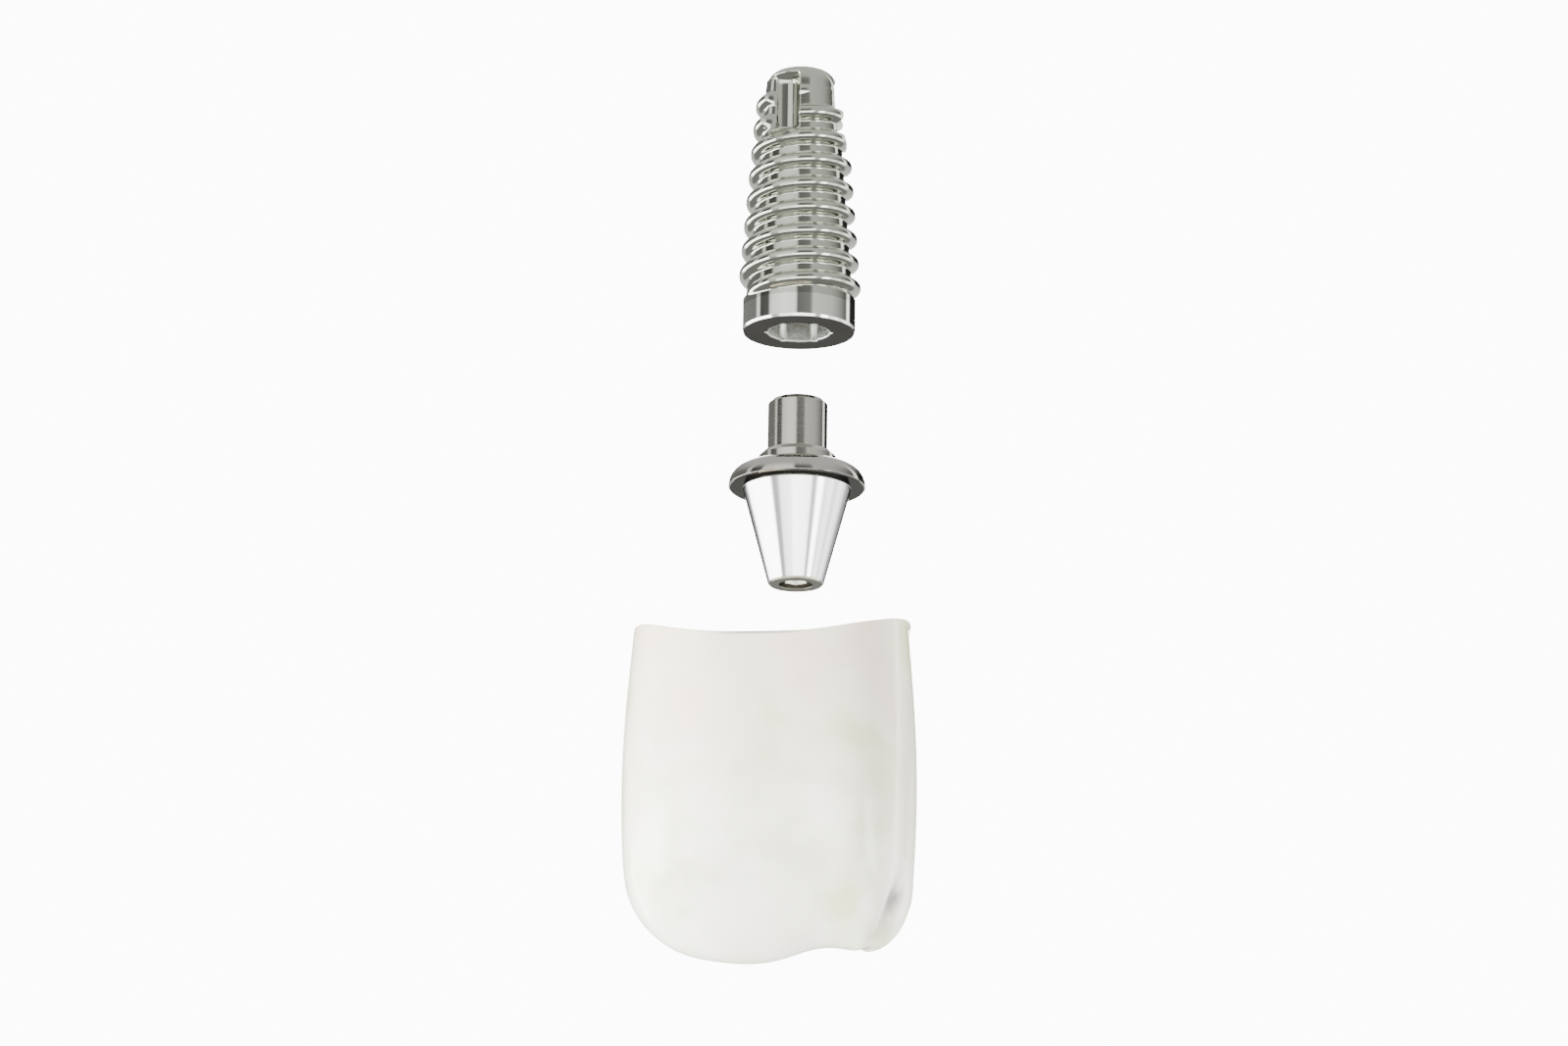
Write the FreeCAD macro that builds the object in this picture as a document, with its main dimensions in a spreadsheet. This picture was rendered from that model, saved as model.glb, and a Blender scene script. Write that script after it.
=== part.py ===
import FreeCAD, Part
import math
import os
import re
import Sketcher

# A dental implant taken apart along its axis: threaded fixture, abutment, the screw inside it, and crown.
# Millimetres. Z is the implant's axis and points to the apex, X runs along the tooth row, the cheek is at -Y.
# The origin is the centre of the fixture's platform, and the other pieces hang below it.

vector = FreeCAD.Vector
doc = FreeCAD.newDocument("dental_implant")

# Driving dimensions
SIZES = {
    # Fits
    "fit_clearance": 0.03,
    "seat_gap": 0.02,
    # Fixture
    "platform_radius": 2.05,
    "platform_bevel": 0.07,
    "collar_height": 1.20,
    "core_relief": 0.10,
    "implant_length": 10.0,
    "taper_angle": 4.5,
    "apex_height": 0.75,
    "apex_flat": 0.70,
    "apex_shoulder": 0.80,
    "apex_shoulder_drop": 0.30,
    "thread_pitch": 0.93,
    "thread_height": 0.32,
    "thread_base": 0.60,
    "crest_width": 0.16,
    "thread_start": 1.22,
    "thread_sink": 0.12,
    "flute_radius": 0.80,
    "flute_height": 2.6,
    "flute_depth": 0.34,
    "lobe_radius": 0.13,
    "lobe_length": 1.2,
    "bore_run_on": 0.16,
    "screw_hole_depth": 3.0,
    # Abutment
    "post_radius": 1.08,
    "post_length": 1.96,
    "post_bevel": 0.16,
    "step_radius": 1.40,
    "step_height": 0.57,
    "step_bevel": 0.18,
    "flange_radius": 2.48,
    "flange_height": 0.80,
    "flange_dome": 0.70,
    "flange_lip": 0.06,
    "cone_radius": 1.96,
    "cone_tip_radius": 1.01,
    "cone_length": 3.60,
    "tip_bevel": 0.07,
    # Screw
    "head_radius": 0.57,
    "head_height": 0.85,
    "head_recess": 0.12,
    "head_cone": 0.16,
    "screw_radius": 0.42,
    "screw_neck": 0.33,
    "screw_thread_length": 1.9,
    "screw_travel": 2.4,
    "screw_set_back": 0.08,
    "drive_flats": 0.72,
    "drive_depth": 0.50,
    # Crown
    "crown_shift": -0.85,
    "crown_height": 12.02,
    "crown_width": 10.74,
    "crown_depth": 9.6,
    "margin_width": 10.05,
    "margin_depth": 8.2,
    "contour_height": 5.6,
    "margin_rise": 1.10,
    "margin_tilt": 2.0,
    "margin_drop": 0.14,
    "margin_run_on": 1.15,
    "margin_swell": 0.14,
    "swell_place": 0.60,
    "swell_width": 0.30,
    "cut_height": 3.0,
    "cusp_relief": 2.4,
    "section_power": 3.0,
    "cheek_inset_power": 3.0,
    "end_inset_power": 8.0,
    "cheek_closing_power": 2.6,
    "end_closing_power": 4.0,
    "dish_depth": 0.30,
    "dish_radius": 3.6,
    "socket_clearance": 0.04,
    # The gaps that the photograph shows
    "post_gap": 2.59,
    "crown_gap": 2.68,
}
# What follows from them
WORKED_OUT = {
    "core_radius": "=platform_radius - core_relief",
    "core_length": "=implant_length - apex_height - collar_height - core_relief",
    "apex_radius": "=core_radius - core_length * tan(taper_angle)",
    "thread_length": "=implant_length - apex_height - thread_start - thread_base / 2",
    "bore_depth": "=post_length + bore_run_on",
    "flange_level": "=step_height + flange_height",
    "tip_level": "=flange_level + cone_length",
    "shoulder_drop": "=post_gap + post_length",
    "screw_length": "=post_length - screw_set_back + tip_level - head_recess",
    "head_seat": "=head_recess + head_height + screw_travel + seat_gap",
}
sheet = doc.addObject("Spreadsheet::Sheet", "sizes")
for row, (alias, value) in enumerate({**SIZES, **WORKED_OUT}.items(), 1):
    sheet.set(f"A{row}", alias)
    sheet.set(f"B{row}", str(value))
    sheet.setAlias(f"B{row}", alias)
doc.recompute()


def size(alias):
    return float(sheet.get(alias))


def bound(text):
    return re.sub(r"([a-z][a-z_]+)(?![a-z_(])", r"sizes.\1", text)


def datum(body, role):
    return next(f for f in body.Origin.OriginFeatures if f.Role == role)


# A sketch of straight lines whose every corner is bound to the sheet
def sketch(body, name, role, corners):
    made = body.newObject("Sketcher::SketchObject", name)
    made.AttachmentSupport = [(datum(body, role), "")]
    made.MapMode = "FlatFace"
    count = len(corners)
    turns = [2 * math.pi * i / count for i in range(count)]
    ring = [vector(math.cos(turn), math.sin(turn), 0) for turn in turns]
    for i in range(count):
        made.addGeometry(Part.LineSegment(ring[i], ring[(i + 1) % count]), False)
    for i in range(count):
        made.addConstraint(Sketcher.Constraint("Coincident", i, 2, (i + 1) % count, 1))
    for i, (across, along) in enumerate(corners):
        for kind, text in (("DistanceX", across), ("DistanceY", along)):
            k = made.addConstraint(Sketcher.Constraint(kind, -1, 1, i, 1, 1.0))
            made.setExpression(f"Constraints[{k}]", bound(text))
    doc.recompute()
    return made


# A closed profile turned round the Z axis, added to the body or cut out of it
def turned(body, name, corners, kind="PartDesign::Revolution"):
    profile = sketch(body, name + "_profile", "XZ_Plane", corners)
    made = body.newObject(kind, name)
    made.Profile = profile
    made.ReferenceAxis = (datum(body, "Z_Axis"), [""])
    made.Angle = 360
    doc.recompute()
    return made


# A pocket upwards from a level on the Z axis, which has to take material away
def pocketed(body, name, profile, level, depth):
    profile.setExpression("AttachmentOffset.Base.z", bound(level))
    before = body.Shape.Volume
    made = body.newObject("PartDesign::Pocket", name)
    made.Profile = profile
    made.Reversed = True
    made.setExpression("Length", bound(depth))
    doc.recompute()
    if not made.Shape.Volume < before:
        raise RuntimeError(name + " cuts nothing")
    return made


def circle(body, name, across, radius):
    made = body.newObject("Sketcher::SketchObject", name)
    made.AttachmentSupport = [(datum(body, "XY_Plane"), "")]
    made.MapMode = "FlatFace"
    made.addGeometry(Part.Circle(vector(1, 0, 0), vector(0, 0, 1), 0.5), False)
    made.addConstraint(Sketcher.Constraint("PointOnObject", 0, 3, -1))
    for kind, target, text in (("DistanceX", (-1, 1, 0, 3), across), ("Radius", (0,), radius)):
        k = made.addConstraint(Sketcher.Constraint(kind, *target, 1.0))
        made.setExpression(f"Constraints[{k}]", bound(text))
    doc.recompute()
    return made


# A feature repeated round the Z axis
def repeated(body, name, feature, count):
    made = body.newObject("PartDesign::PolarPattern", name)
    made.Originals = [feature]
    made.Axis = (datum(body, "Z_Axis"), [""])
    made.Angle = 360
    made.Occurrences = count
    body.Tip = made
    doc.recompute()
    return made


# The round edges of a body at one level and radius, made round in section too
def rounded(body, name, level, radius, size_alias):
    base = body.Tip
    found = []
    for i, edge in enumerate(base.Shape.Edges, 1):
        curve = edge.Curve
        if not isinstance(curve, Part.Circle):
            continue
        if abs(curve.Radius - radius) < 1e-4 and abs(curve.Center.z - level) < 1e-4:
            found.append(f"Edge{i}")
    made = body.newObject("PartDesign::Fillet", name)
    made.Base = (base, found)
    made.setExpression("Radius", bound(size_alias))
    doc.recompute()
    return made


# FIXTURE
fixture = doc.addObject("PartDesign::Body", "implant_fixture")
fixture.Label = "implant_fixture"
turned(fixture, "core", [
    ("0", "0"),
    ("platform_radius - platform_bevel", "0"),
    ("platform_radius", "platform_bevel"),
    ("platform_radius", "collar_height"),
    ("core_radius", "collar_height + core_relief"),
    ("apex_radius", "implant_length - apex_height"),
    ("apex_shoulder * apex_radius", "implant_length - apex_shoulder_drop * apex_height"),
    ("apex_flat", "implant_length"),
    ("0", "implant_length"),
])

ridge = sketch(fixture, "ridge", "XZ_Plane", [
    ("core_radius - thread_sink", "thread_base / 2"),
    ("core_radius - thread_sink", "-thread_base / 2"),
    ("core_radius + thread_height", "-crest_width / 2"),
    ("core_radius + thread_height", "crest_width / 2"),
])
ridge.AttachmentOffset = FreeCAD.Placement(vector(0, 0, 0), FreeCAD.Rotation(vector(0, 1, 0), 180))
ridge.setExpression("AttachmentOffset.Base.y", bound("thread_start"))
doc.recompute()
thread = fixture.newObject("PartDesign::AdditiveHelix", "thread")
thread.Profile = ridge
thread.ReferenceAxis = (datum(fixture, "Z_Axis"), [""])
thread.Mode = 0
thread.setExpression("Pitch", bound("thread_pitch"))
thread.setExpression("Height", bound("thread_length"))
thread.setExpression("Angle", bound("-taper_angle"))
doc.recompute()

flute = circle(fixture, "flute_profile", "apex_radius + flute_radius - flute_depth", "flute_radius")
pocketed(fixture, "flute", flute, "implant_length - flute_height", "flute_height + 1")
repeated(fixture, "flutes", fixture.Tip, 3)

turned(fixture, "bore", [
    ("0", "0"),
    ("post_radius + fit_clearance", "0"),
    ("post_radius + fit_clearance", "bore_depth"),
    ("screw_radius + fit_clearance", "bore_depth"),
    ("screw_radius + fit_clearance", "bore_depth + screw_hole_depth"),
    ("0", "bore_depth + screw_hole_depth + screw_radius / 2"),
], "PartDesign::Groove")
lobe = circle(fixture, "lobe_profile", "post_radius + fit_clearance - lobe_radius / 4", "lobe_radius")
pocketed(fixture, "lobe", lobe, "0", "lobe_length")
repeated(fixture, "lobes", fixture.Tip, 6)

# ABUTMENT, from its shoulder: the post is above, the rest below
abutment = doc.addObject("PartDesign::Body", "abutment")
abutment.Label = "abutment"
turned(abutment, "outside", [
    ("0", "post_length"),
    ("post_radius - post_bevel", "post_length"),
    ("post_radius", "post_length - post_bevel"),
    ("post_radius", "0"),
    ("step_radius - step_bevel", "0"),
    ("step_radius", "-step_bevel"),
    ("step_radius", "-step_height"),
    ("flange_radius", "-step_height"),
    ("flange_radius", "-flange_level + flange_lip"),
    ("flange_radius - flange_lip", "-flange_level"),
    ("cone_radius", "-flange_level"),
    ("cone_tip_radius", "-tip_level + tip_bevel"),
    ("cone_tip_radius - tip_bevel", "-tip_level"),
    ("0", "-tip_level"),
])
rounded(abutment, "flange_dome_round", -size("step_height"), size("flange_radius"), "flange_dome")
turned(abutment, "channel", [
    ("0", "-tip_level"),
    ("head_radius + fit_clearance", "-tip_level"),
    ("head_radius + fit_clearance", "-tip_level + head_seat"),
    ("screw_radius + fit_clearance", "-tip_level + head_seat + head_cone"),
    ("screw_radius + fit_clearance", "post_length"),
    ("0", "post_length"),
], "PartDesign::Groove")
abutment.setExpression("Placement.Base.z", bound("-shoulder_drop"))

# SCREW, from the face of its head, which is the end below
screw = doc.addObject("PartDesign::Body", "abutment_screw")
screw.Label = "abutment_screw"
turned(screw, "shank", [
    ("0", "0"),
    ("head_radius", "0"),
    ("head_radius", "head_height"),
    ("screw_neck", "head_height + head_cone"),
    ("screw_neck", "screw_length - screw_thread_length - screw_radius + screw_neck"),
    ("screw_radius", "screw_length - screw_thread_length"),
    ("screw_radius", "screw_length - screw_radius + screw_neck"),
    ("screw_neck", "screw_length"),
    ("0", "screw_length"),
])
half = "drive_flats / 2"
corner = "drive_flats / (2 * sqrt(3))"
drive = sketch(screw, "drive_profile", "XY_Plane", [
    (half, corner),
    ("0", "drive_flats / sqrt(3)"),
    ("-" + half, corner),
    ("-" + half, "-" + corner),
    ("0", "-drive_flats / sqrt(3)"),
    (half, "-" + corner),
])
pocketed(screw, "drive", drive, "0", "drive_depth")
screw.setExpression("Placement.Base.z", bound("-shoulder_drop - tip_level + head_recess"))


# CROWN, from the ring on which the flange seats
# One closed skin: an upright barrel with a rounded-square section that closes over five cusps.
# Every column of control points runs down the side and in to the middle of the biting face.
# A cusp has its place and width as shares of the tooth's half-width and half-depth, then its height as a
# share of the relief. The pit between them goes the other way.
CUSPS = {
    "front_cheek": (-0.577, -0.36, 0.42, 0.645),
    "middle_cheek": (0.03, -0.36, 0.42, 0.814),
    "back_cheek": (0.78, -0.36, 0.34, 0.79),
    "front_palate": (-0.32, 0.44, 0.40, 0.32),
    "back_palate": (0.52, 0.42, 0.40, 0.20),
    "pit": (0.08, 0.08, 0.30, -0.22),
}
# Soft valleys in the wall: bearing in degrees, depth as a share of the distance out, half-width in degrees
VALLEYS = {
    "cheek": (-76, 0.028, 13),
    "back_corner": (-24, 0.060, 9),
    "back": (8, 0.020, 14),
    "palate": (82, 0.045, 14),
    "front": (178, 0.020, 16),
}
COLUMNS = 28
# Rows of a column: shares of the way down to the widest level, then steps round the shoulder in degrees
WALL_SHARES = (-0.16, 0.2, 0.46, 0.73, 1.0)
SHOULDER_STEPS = (0, 20, 40, 60)
BITING_ROWS = 6


def biting_level(x, y):
    bumps = 0
    for across, deep, wide, tall in CUSPS.values():
        bumps += tall * math.exp(-((x - across) ** 2 + (y - deep) ** 2) / wide ** 2)
    return size("crown_height") - size("cusp_relief") * (1 - bumps)


def valley(bearing):
    total = 0
    for centre, deep, wide in VALLEYS.values():
        off = (math.degrees(bearing) - centre + 180) % 360 - 180
        total += deep * math.exp(-(off / wide) ** 2)
    return total


def crown_point(bearing, across, level, fade):
    power = size("section_power")
    x, y = math.cos(bearing), math.sin(bearing)
    reach = (abs(x) ** power + abs(y) ** power) ** (-1 / power)
    wide, deep = across
    carve = 1 - fade * valley(bearing)
    return vector(wide * reach * x * carve, deep * reach * y * carve, size("dish_depth") - level)


# The upright part of a column, from above the margin down to the widest level
def side_column(bearing):
    belly = size("contour_height")
    column = []
    for share in WALL_SHARES:
        swell = math.sin(math.pi / 2 * share)
        wide = size("margin_width") + (size("crown_width") - size("margin_width")) * swell
        deep = size("margin_depth") + (size("crown_depth") - size("margin_depth")) * swell
        column.append(crown_point(bearing, (wide / 2, deep / 2), share * belly, max(share, 0)))
    return column


# The rest of a column, round the shoulder of a cusp and in to the middle
def biting_column(bearing):
    belly = size("contour_height")
    widest = (size("crown_width") / 2, size("crown_depth") / 2)
    # The cheek side rounds over gently, and the front and back ends more squarely
    ends = math.cos(bearing) ** 2
    inset = size("cheek_inset_power") * (1 - ends) + size("end_inset_power") * ends
    closing = size("cheek_closing_power") * (1 - ends) + size("end_closing_power") * ends
    shares = [math.cos(math.radians(a)) ** (2 / inset) for a in SHOULDER_STEPS]
    shares += [shares[-1] * (1 - k / BITING_ROWS) for k in range(1, BITING_ROWS + 1)]
    column = []
    for share in shares:
        spot = crown_point(bearing, [w * share for w in widest], 0, share ** 2)
        closed = max(1 - share ** inset, 0) ** (1 / closing)
        floor = biting_level(spot.x / widest[0], spot.y / widest[1])
        column.append(vector(spot.x, spot.y, size("dish_depth") - belly - (floor - belly) * closed))
    return column


# A closed band of surface through the same row of control points for every bearing
def band(columns, degree):
    rows, around = len(columns[0]), len(columns)
    ends = [degree + 1] + [1] * (rows - degree - 1) + [degree + 1]
    aside = vector(size("crown_shift"), 0, 0)
    surface = Part.BSplineSurface()
    surface.buildFromPolesMultsKnots(
        [[p + aside for p in column] for column in columns],
        [1] * (around + 1), ends, list(range(around + 1)), list(range(len(ends))), True, False, 3, degree)
    return surface.toShape()


def crown_skin():
    bearings = [2 * math.pi * i / COLUMNS for i in range(COLUMNS)]
    side = [side_column(b) for b in bearings]
    rings = [band([column[k:k + 2] for column in side], 1) for k in range(len(side[0]) - 1)]
    rim = Part.Wire(max(rings[0].Edges, key=lambda edge: edge.BoundBox.ZMin))
    closed = Part.Shell([Part.Face(rim)] + rings + [band([biting_column(b) for b in bearings], 3)])
    closed.sewShape(1e-5)
    return Part.Solid(closed)


form = doc.addObject("Part::Feature", "crown_form")
form.Shape = crown_skin()
crown = doc.addObject("PartDesign::Body", "crown")
crown.Label = "crown"
crown.BaseFeature = form
doc.recompute()


# The margin: an arc across the tooth, a little higher at the back, cut through from cheek to palate
def margin_cut(body):
    top = size("cut_height")
    made = body.newObject("Sketcher::SketchObject", "margin_profile")
    made.AttachmentSupport = [(datum(body, "XZ_Plane"), "")]
    made.MapMode = "FlatFace"
    tilt = math.tan(math.radians(size("margin_tilt")))
    low = size("dish_depth") - size("margin_drop")
    line = []
    steps = 6
    for k in range(-steps, steps + 1):
        off = k / steps * size("margin_run_on")
        along = off * size("margin_width") / 2
        swell = size("margin_swell") * math.exp(-((off - size("swell_place")) / size("swell_width")) ** 2)
        height = low + size("margin_rise") * abs(off) ** 3 + along * tilt + swell
        line.append(vector(size("crown_shift") + along, height, 0))
    left, right = line[0], line[-1]
    curve = Part.BSplineCurve()
    curve.interpolate(line)
    made.addGeometry(curve, False)
    made.addGeometry(Part.LineSegment(right, vector(right.x, top, 0)), False)
    made.addGeometry(Part.LineSegment(vector(right.x, top, 0), vector(left.x, top, 0)), False)
    made.addGeometry(Part.LineSegment(vector(left.x, top, 0), left), False)
    doc.recompute()
    before = body.Shape.Volume
    cut = body.newObject("PartDesign::Pocket", "margin")
    cut.Profile = made
    cut.Type = "ThroughAll"
    cut.Midplane = True
    doc.recompute()
    if not cut.Shape.Volume < before:
        raise RuntimeError("the margin cuts nothing")


margin_cut(crown)
turned(crown, "socket", [
    ("0", "cut_height"),
    ("0", "-cone_length - socket_clearance"),
    ("cone_tip_radius + socket_clearance", "-cone_length - socket_clearance"),
    ("cone_radius + socket_clearance", "0"),
    ("flange_radius + socket_clearance", "0"),
    ("dish_radius", "dish_depth"),
    ("dish_radius", "cut_height"),
], "PartDesign::Groove")
crown.setExpression("Placement.Base.z", bound("-shoulder_drop - tip_level - crown_gap - dish_depth"))
doc.recompute()

# Every object has to be sound before anything is written
PIECES = [fixture, abutment, screw, crown]
for made in doc.Objects:
    if "Invalid" in made.State or "Error" in made.State:
        raise RuntimeError(made.Name + " failed")
for made in PIECES:
    if made.Shape.isNull() or not made.Shape.isValid() or len(made.Shape.Solids) != 1:
        raise RuntimeError(made.Label + " is not one sound solid")
os.makedirs("parts", exist_ok=True)
for made in PIECES:
    made.Shape.exportStep(f"parts/{made.Label}.step")
    print(made.Label, round(made.Shape.Volume, 2), made.Shape.BoundBox)
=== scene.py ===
import math

import bmesh
import bpy
from mathutils import Matrix, Vector


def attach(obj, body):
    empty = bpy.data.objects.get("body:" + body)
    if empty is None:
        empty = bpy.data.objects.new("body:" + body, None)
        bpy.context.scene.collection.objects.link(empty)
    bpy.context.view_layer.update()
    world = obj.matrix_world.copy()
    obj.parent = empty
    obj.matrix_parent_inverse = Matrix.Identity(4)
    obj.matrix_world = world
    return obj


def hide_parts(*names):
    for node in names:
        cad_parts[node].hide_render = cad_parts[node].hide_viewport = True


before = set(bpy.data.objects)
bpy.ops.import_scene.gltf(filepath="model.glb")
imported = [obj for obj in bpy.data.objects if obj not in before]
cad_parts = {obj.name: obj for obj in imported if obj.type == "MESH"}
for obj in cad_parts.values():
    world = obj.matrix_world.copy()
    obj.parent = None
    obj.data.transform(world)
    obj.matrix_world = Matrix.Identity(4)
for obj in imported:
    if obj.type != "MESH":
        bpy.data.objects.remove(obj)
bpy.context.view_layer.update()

# THREADED FIXTURE
# The part that is screwed into the jaw: one turned and polished bar of titanium, with a plain collar,
# a coarse right-hand thread rolled on a slightly tapered core, and three cutting flutes at its round end.
# It stands on its own; the abutment's post slides into the bore in its platform.
MM = 0.001
PLATFORM_RADIUS = 2.05
RIM_BREAK = (0.035, 0.115)
POLISHED_HEIGHT = 0.90
COLLAR_TOP = 1.20
CORE_RADIUS = 1.95
CORE_RELIEF = 0.10
FIXTURE_LENGTH = 10.0
APEX_LEVEL = 9.25
APEX_FLAT = 0.70
TAPER = math.tan(math.radians(4.5))
TAPER_START = COLLAR_TOP + CORE_RELIEF
APEX_RADIUS = CORE_RADIUS - (APEX_LEVEL - COLLAR_TOP - CORE_RELIEF) * TAPER
PITCH = 0.93
THREAD_START = 1.22
THREAD_END = 8.98
RIDGE_HEIGHT = 0.32
RIDGE_BASE = 0.60
RIDGE_FILLET = 0.06
FLUTE_RADIUS = 0.80
FLUTE_DEPTH = 0.34
FLUTE_START = 7.5
BORE_RADIUS = 1.11
BORE_DEPTH = 2.12
SCREW_HOLE = 0.45
SCREW_HOLE_DEPTH = 3.0
LOBE_RADIUS = 0.13
LOBE_TOP = 1.2
LOBE_BAND = 0.09
THREAD_LEVELS = 180
FIXTURE_SIDES = 240


# An sRGB hex code as the linear colour that a shader works in
def paint(code):
    parts = [int(code[k:k + 2], 16) / 255 for k in (1, 3, 5)]
    return [c / 12.92 if c < 0.04045 else ((c + 0.055) / 1.055) ** 2.4 for c in parts] + [1.0]


# A node with its settings, and its inputs set or linked
def add(tree, kind, inputs=(), **settings):
    made = tree.nodes.new(kind)
    for name, value in settings.items():
        setattr(made, name, value)
    for socket, value in dict(inputs).items():
        if isinstance(value, bpy.types.Node):
            value = value.outputs[0]
        if isinstance(value, bpy.types.NodeSocket):
            tree.links.new(value, made.inputs[socket])
        else:
            made.inputs[socket].default_value = value
    return made


# Greys laid round a full turn on a colour ramp, each at its own bearing in degrees
def fill_round(ramp, stops, brightest=1.0):
    ramp.elements.remove(ramp.elements[1])
    for k, (degrees, bright) in enumerate(stops):
        stop = ramp.elements.new(0.5 + degrees / 360) if k else ramp.elements[0]
        stop.position = 0.5 + degrees / 360
        stop.color = (bright / brightest,) * 3 + (1,)


# Corners of a turned outline made round, each by its own radius, with a ring close by on either side
def softened(corners, arc=6, closed=False):
    outline = []
    count = len(corners)
    for i, (r, z, radius) in enumerate(corners):
        here = Vector((r, z))
        if radius == 0 or (not closed and i in (0, count - 1)):
            outline.append((r, z))
            continue
        before, after = Vector(corners[i - 1][:2]) - here, Vector(corners[(i + 1) % count][:2]) - here
        half = before.angle(after) / 2
        reach = min(radius / math.tan(half), before.length * 0.96, after.length * 0.96)
        radius = reach * math.tan(half)
        centre = here + (before.normalized() + after.normalized()).normalized() * (radius / math.sin(half))
        start, end = here + before.normalized() * reach, here + after.normalized() * reach
        if before.length > 1.5 * reach + 0.03:
            outline.append(tuple(start + before.normalized() * 0.012))
        first = math.atan2(start.y - centre.y, start.x - centre.x)
        swing = (math.atan2(end.y - centre.y, end.x - centre.x) - first + math.pi) % (2 * math.pi) - math.pi
        for k in range(arc + 1):
            a = first + swing * k / arc
            outline.append((centre.x + radius * math.cos(a), centre.y + radius * math.sin(a)))
        if after.length > 1.5 * reach + 0.03:
            outline.append(tuple(end + after.normalized() * 0.012))
    return outline


# A skin of quads turned round the Z axis; reach may move a ring's points in or out by their bearing
def turned_skin(name, outline, around, reach=None, closed=False, zone=None):
    mesh = bmesh.new()
    rings = []
    for r, z in outline:
        if r < 1e-6:
            rings.append([mesh.verts.new((0, 0, z * MM))])
            continue
        ring = []
        for j in range(around):
            bearing = 2 * math.pi * j / around
            out = (reach(bearing, r, z) if reach else r) * MM
            ring.append(mesh.verts.new((out * math.cos(bearing), out * math.sin(bearing), z * MM)))
        rings.append(ring)
    pairs = list(zip(rings, rings[1:])) + ([(rings[-1], rings[0])] if closed else [])
    for i, (low, high) in enumerate(pairs):
        for j in range(around):
            k = (j + 1) % around
            corners = [low[j % len(low)], low[k % len(low)], high[k % len(high)], high[j % len(high)]]
            face = mesh.faces.new(list(dict.fromkeys(corners)))
            face.smooth = True
            if zone:
                face.material_index = zone(outline[i], outline[(i + 1) % len(outline)])
    made = bpy.data.meshes.new(name)
    mesh.to_mesh(made)
    mesh.free()
    piece = bpy.data.objects.new(name, made)
    bpy.context.scene.collection.objects.link(piece)
    return piece


# Polished titanium alloy, turned on a lathe: a warm grey mirror, broken by faint rings of tool marks
# and by a slight difference in polish from place to place. Edge is how much of the light the face still
# mirrors at a glancing angle; where it is set low, the glancing mirror is dimmed as painted shade.
def polished_titanium(name, tone, shade, gloss, marks, edge=1.0):
    finish = bpy.data.materials.new(name)
    finish.use_nodes = True
    tree = finish.node_tree
    shader = tree.nodes["Principled BSDF"]
    place = add(tree, "ShaderNodeTexCoord").outputs["Object"]
    cloud = add(tree, "ShaderNodeTexNoise", {"Vector": place, "Scale": 900.0, "Detail": 4.0})
    tint = add(tree, "ShaderNodeMix", {0: cloud, 6: paint(tone), 7: paint(shade)}, data_type="RGBA")
    # Tool marks 0.03 mm apart on the real part, drawn 0.09 mm apart so that they show
    squashed = add(tree, "ShaderNodeMapping", {"Vector": place, "Scale": (600, 600, 11000)})
    rings = add(tree, "ShaderNodeTexNoise", {"Vector": squashed, "Scale": 1.0, "Detail": 2.0})
    polish = add(tree, "ShaderNodeMapRange", {0: rings, 3: gloss * 0.7, 4: gloss * 1.5})
    bump = add(tree, "ShaderNodeBump", {"Height": rings, "Strength": marks, "Distance": 0.00002})
    tree.links.new(tint.outputs[2], shader.inputs["Base Color"])
    tree.links.new(polish.outputs[0], shader.inputs["Roughness"])
    tree.links.new(bump.outputs[0], shader.inputs["Normal"])
    shader.inputs["Metallic"].default_value = 1.0
    shader.inputs["Specular Tint"].default_value = (edge, edge, edge, 1)
    return finish


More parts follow.
